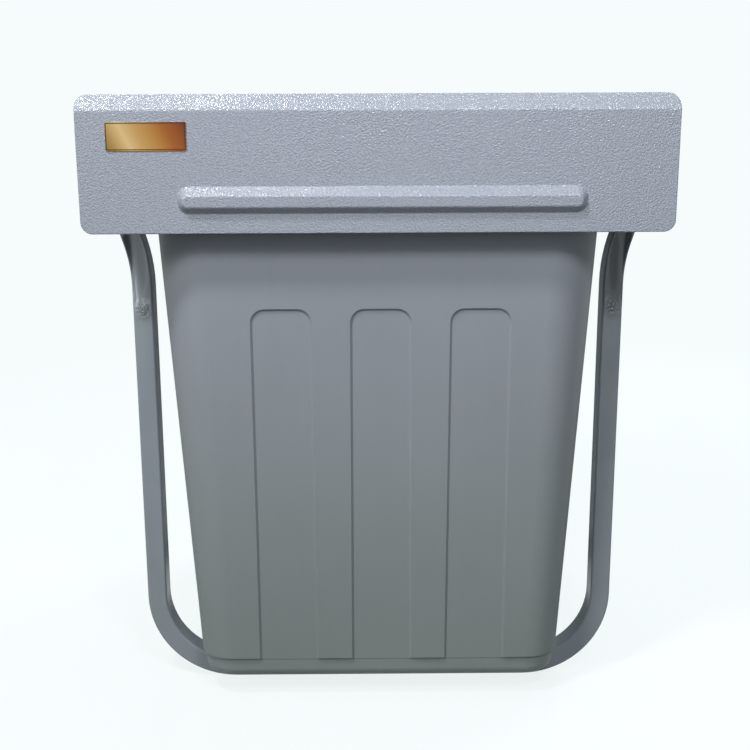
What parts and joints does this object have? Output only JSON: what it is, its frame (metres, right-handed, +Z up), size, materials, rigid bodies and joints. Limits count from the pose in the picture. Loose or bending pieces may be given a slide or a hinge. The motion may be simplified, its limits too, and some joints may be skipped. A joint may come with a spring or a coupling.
{
  "type": "built-in pull-out waste bin",
  "caption": "Pull-out waste bin: tapered plastic bin held by two bent tube hoops under a steel header, on ball-bearing cabinet slides.",
  "frame": {"origin": "middle of the part's width and depth, on the surface that the two hoops stand on, with the carriage pushed in", "axes": "+X to the right seen from the front, +Y backwards into the cabinet, along the slides, +Z up"},
  "size_m": [0.368, 0.439, 0.396],
  "materials": {
    "header_paint": "hammered powder coat, light lavender grey",
    "frame_paint": "smooth satin powder coat, mid grey",
    "brass_plate": "brushed, blank",
    "bracket_zinc": "bright zinc plate",
    "fastener_zinc": "bright zinc plate",
    "slide_zinc": "zinc-plated cold-rolled strip",
    "cage_zinc": "greased zinc-plated strip",
    "ball_steel": "polished bearing steel",
    "lever_plastic": "black moulded acetal",
    "stop_rubber": "black rubber",
    "plug_plastic": "dark grey moulded polyethylene",
    "pad_rubber": "black rubber",
    "bin_plastic": "fine-textured mid grey polypropylene",
    "bail_steel": "galvanised wire",
    "grip_plastic": "dark grey moulded polypropylene"
  },
  "bodies": {
    "cabinet_side": {"cabinet_member_left": "slide_zinc", "cabinet_member_right": "slide_zinc", "cabinet_bumpers": "stop_rubber"},
    "carriage": {"header_panel": "header_paint", "name_plate": "brass_plate", "header_bracket_left": "bracket_zinc", "header_bracket_right": "bracket_zinc", "header_studs": "fastener_zinc", "header_nuts": "fastener_zinc", "bracket_screws": "fastener_zinc", "side_rail_left": "frame_paint", "side_rail_right": "frame_paint", "rear_cross_bar": "frame_paint", "rail_end_plugs": "plug_plastic", "front_hoop": "frame_paint", "rear_hoop": "frame_paint", "hoop_pads": "pad_rubber", "drawer_member_left": "slide_zinc", "drawer_member_right": "slide_zinc", "drawer_member_screws": "fastener_zinc", "lever_rivets": "fastener_zinc"},
    "bin": {"bin_body": "bin_plastic"},
    "bail": {"bin_handle": "bail_steel", "handle_grip": "grip_plastic"},
    "intermediate_left": {"intermediate_member_left": "slide_zinc"},
    "outer_bearing_left": {"outer_cage_left": "cage_zinc", "outer_balls_left": "ball_steel"},
    "inner_bearing_left": {"inner_cage_left": "cage_zinc", "inner_balls_left": "ball_steel"},
    "lever_left": {"release_lever_left": "lever_plastic"},
    "intermediate_right": {"intermediate_member_right": "slide_zinc"},
    "outer_bearing_right": {"outer_cage_right": "cage_zinc", "outer_balls_right": "ball_steel"},
    "inner_bearing_right": {"inner_cage_right": "cage_zinc", "inner_balls_right": "ball_steel"},
    "lever_right": {"release_lever_right": "lever_plastic"}
  },
  "joints": [
    {"name": "carriage_slide", "type": "slide", "parent": "cabinet_side", "child": "carriage", "axis": [0, -1, 0], "range_m": [0, 0.4]},
    {"name": "bin_lift", "type": "slide", "parent": "carriage", "child": "bin", "axis": [0, 0, 1], "range_m": [0, 0.4]},
    {"name": "bail_hinge", "type": "hinge", "parent": "bin", "child": "bail", "pos_m": [0, -0.0435, 0.3765], "axis": [1, 0, 0], "range_deg": [0, 180]},
    {"name": "intermediate_left_slide", "type": "slide", "parent": "cabinet_side", "child": "intermediate_left", "axis": [0, -1, 0], "range_m": [0, 0.2]},
    {"name": "outer_bearing_left_slide", "type": "slide", "parent": "cabinet_side", "child": "outer_bearing_left", "axis": [0, -1, 0], "range_m": [0, 0.1]},
    {"name": "inner_bearing_left_slide", "type": "slide", "parent": "cabinet_side", "child": "inner_bearing_left", "axis": [0, -1, 0], "range_m": [0, 0.3]},
    {"name": "lever_left_hinge", "type": "hinge", "parent": "carriage", "child": "lever_left", "pos_m": [-0.1736, -0.1255, 0.3545], "axis": [1, 0, 0], "range_deg": [-6, 6], "stiffness_Nm_per_rad": 0.05},
    {"name": "intermediate_right_slide", "type": "slide", "parent": "cabinet_side", "child": "intermediate_right", "axis": [0, -1, 0], "range_m": [0, 0.2]},
    {"name": "outer_bearing_right_slide", "type": "slide", "parent": "cabinet_side", "child": "outer_bearing_right", "axis": [0, -1, 0], "range_m": [0, 0.1]},
    {"name": "inner_bearing_right_slide", "type": "slide", "parent": "cabinet_side", "child": "inner_bearing_right", "axis": [0, -1, 0], "range_m": [0, 0.3]},
    {"name": "lever_right_hinge", "type": "hinge", "parent": "carriage", "child": "lever_right", "pos_m": [0.1736, -0.1255, 0.3545], "axis": [1, 0, 0], "range_deg": [-6, 6], "stiffness_Nm_per_rad": 0.05}
  ],
  "couplings": [
    {"joint": "intermediate_left_slide", "follows": "carriage_slide", "ratio": 0.5},
    {"joint": "outer_bearing_left_slide", "follows": "carriage_slide", "ratio": 0.25},
    {"joint": "inner_bearing_left_slide", "follows": "carriage_slide", "ratio": 0.75},
    {"joint": "intermediate_right_slide", "follows": "carriage_slide", "ratio": 0.5},
    {"joint": "outer_bearing_right_slide", "follows": "carriage_slide", "ratio": 0.25},
    {"joint": "inner_bearing_right_slide", "follows": "carriage_slide", "ratio": 0.75}
  ]
}
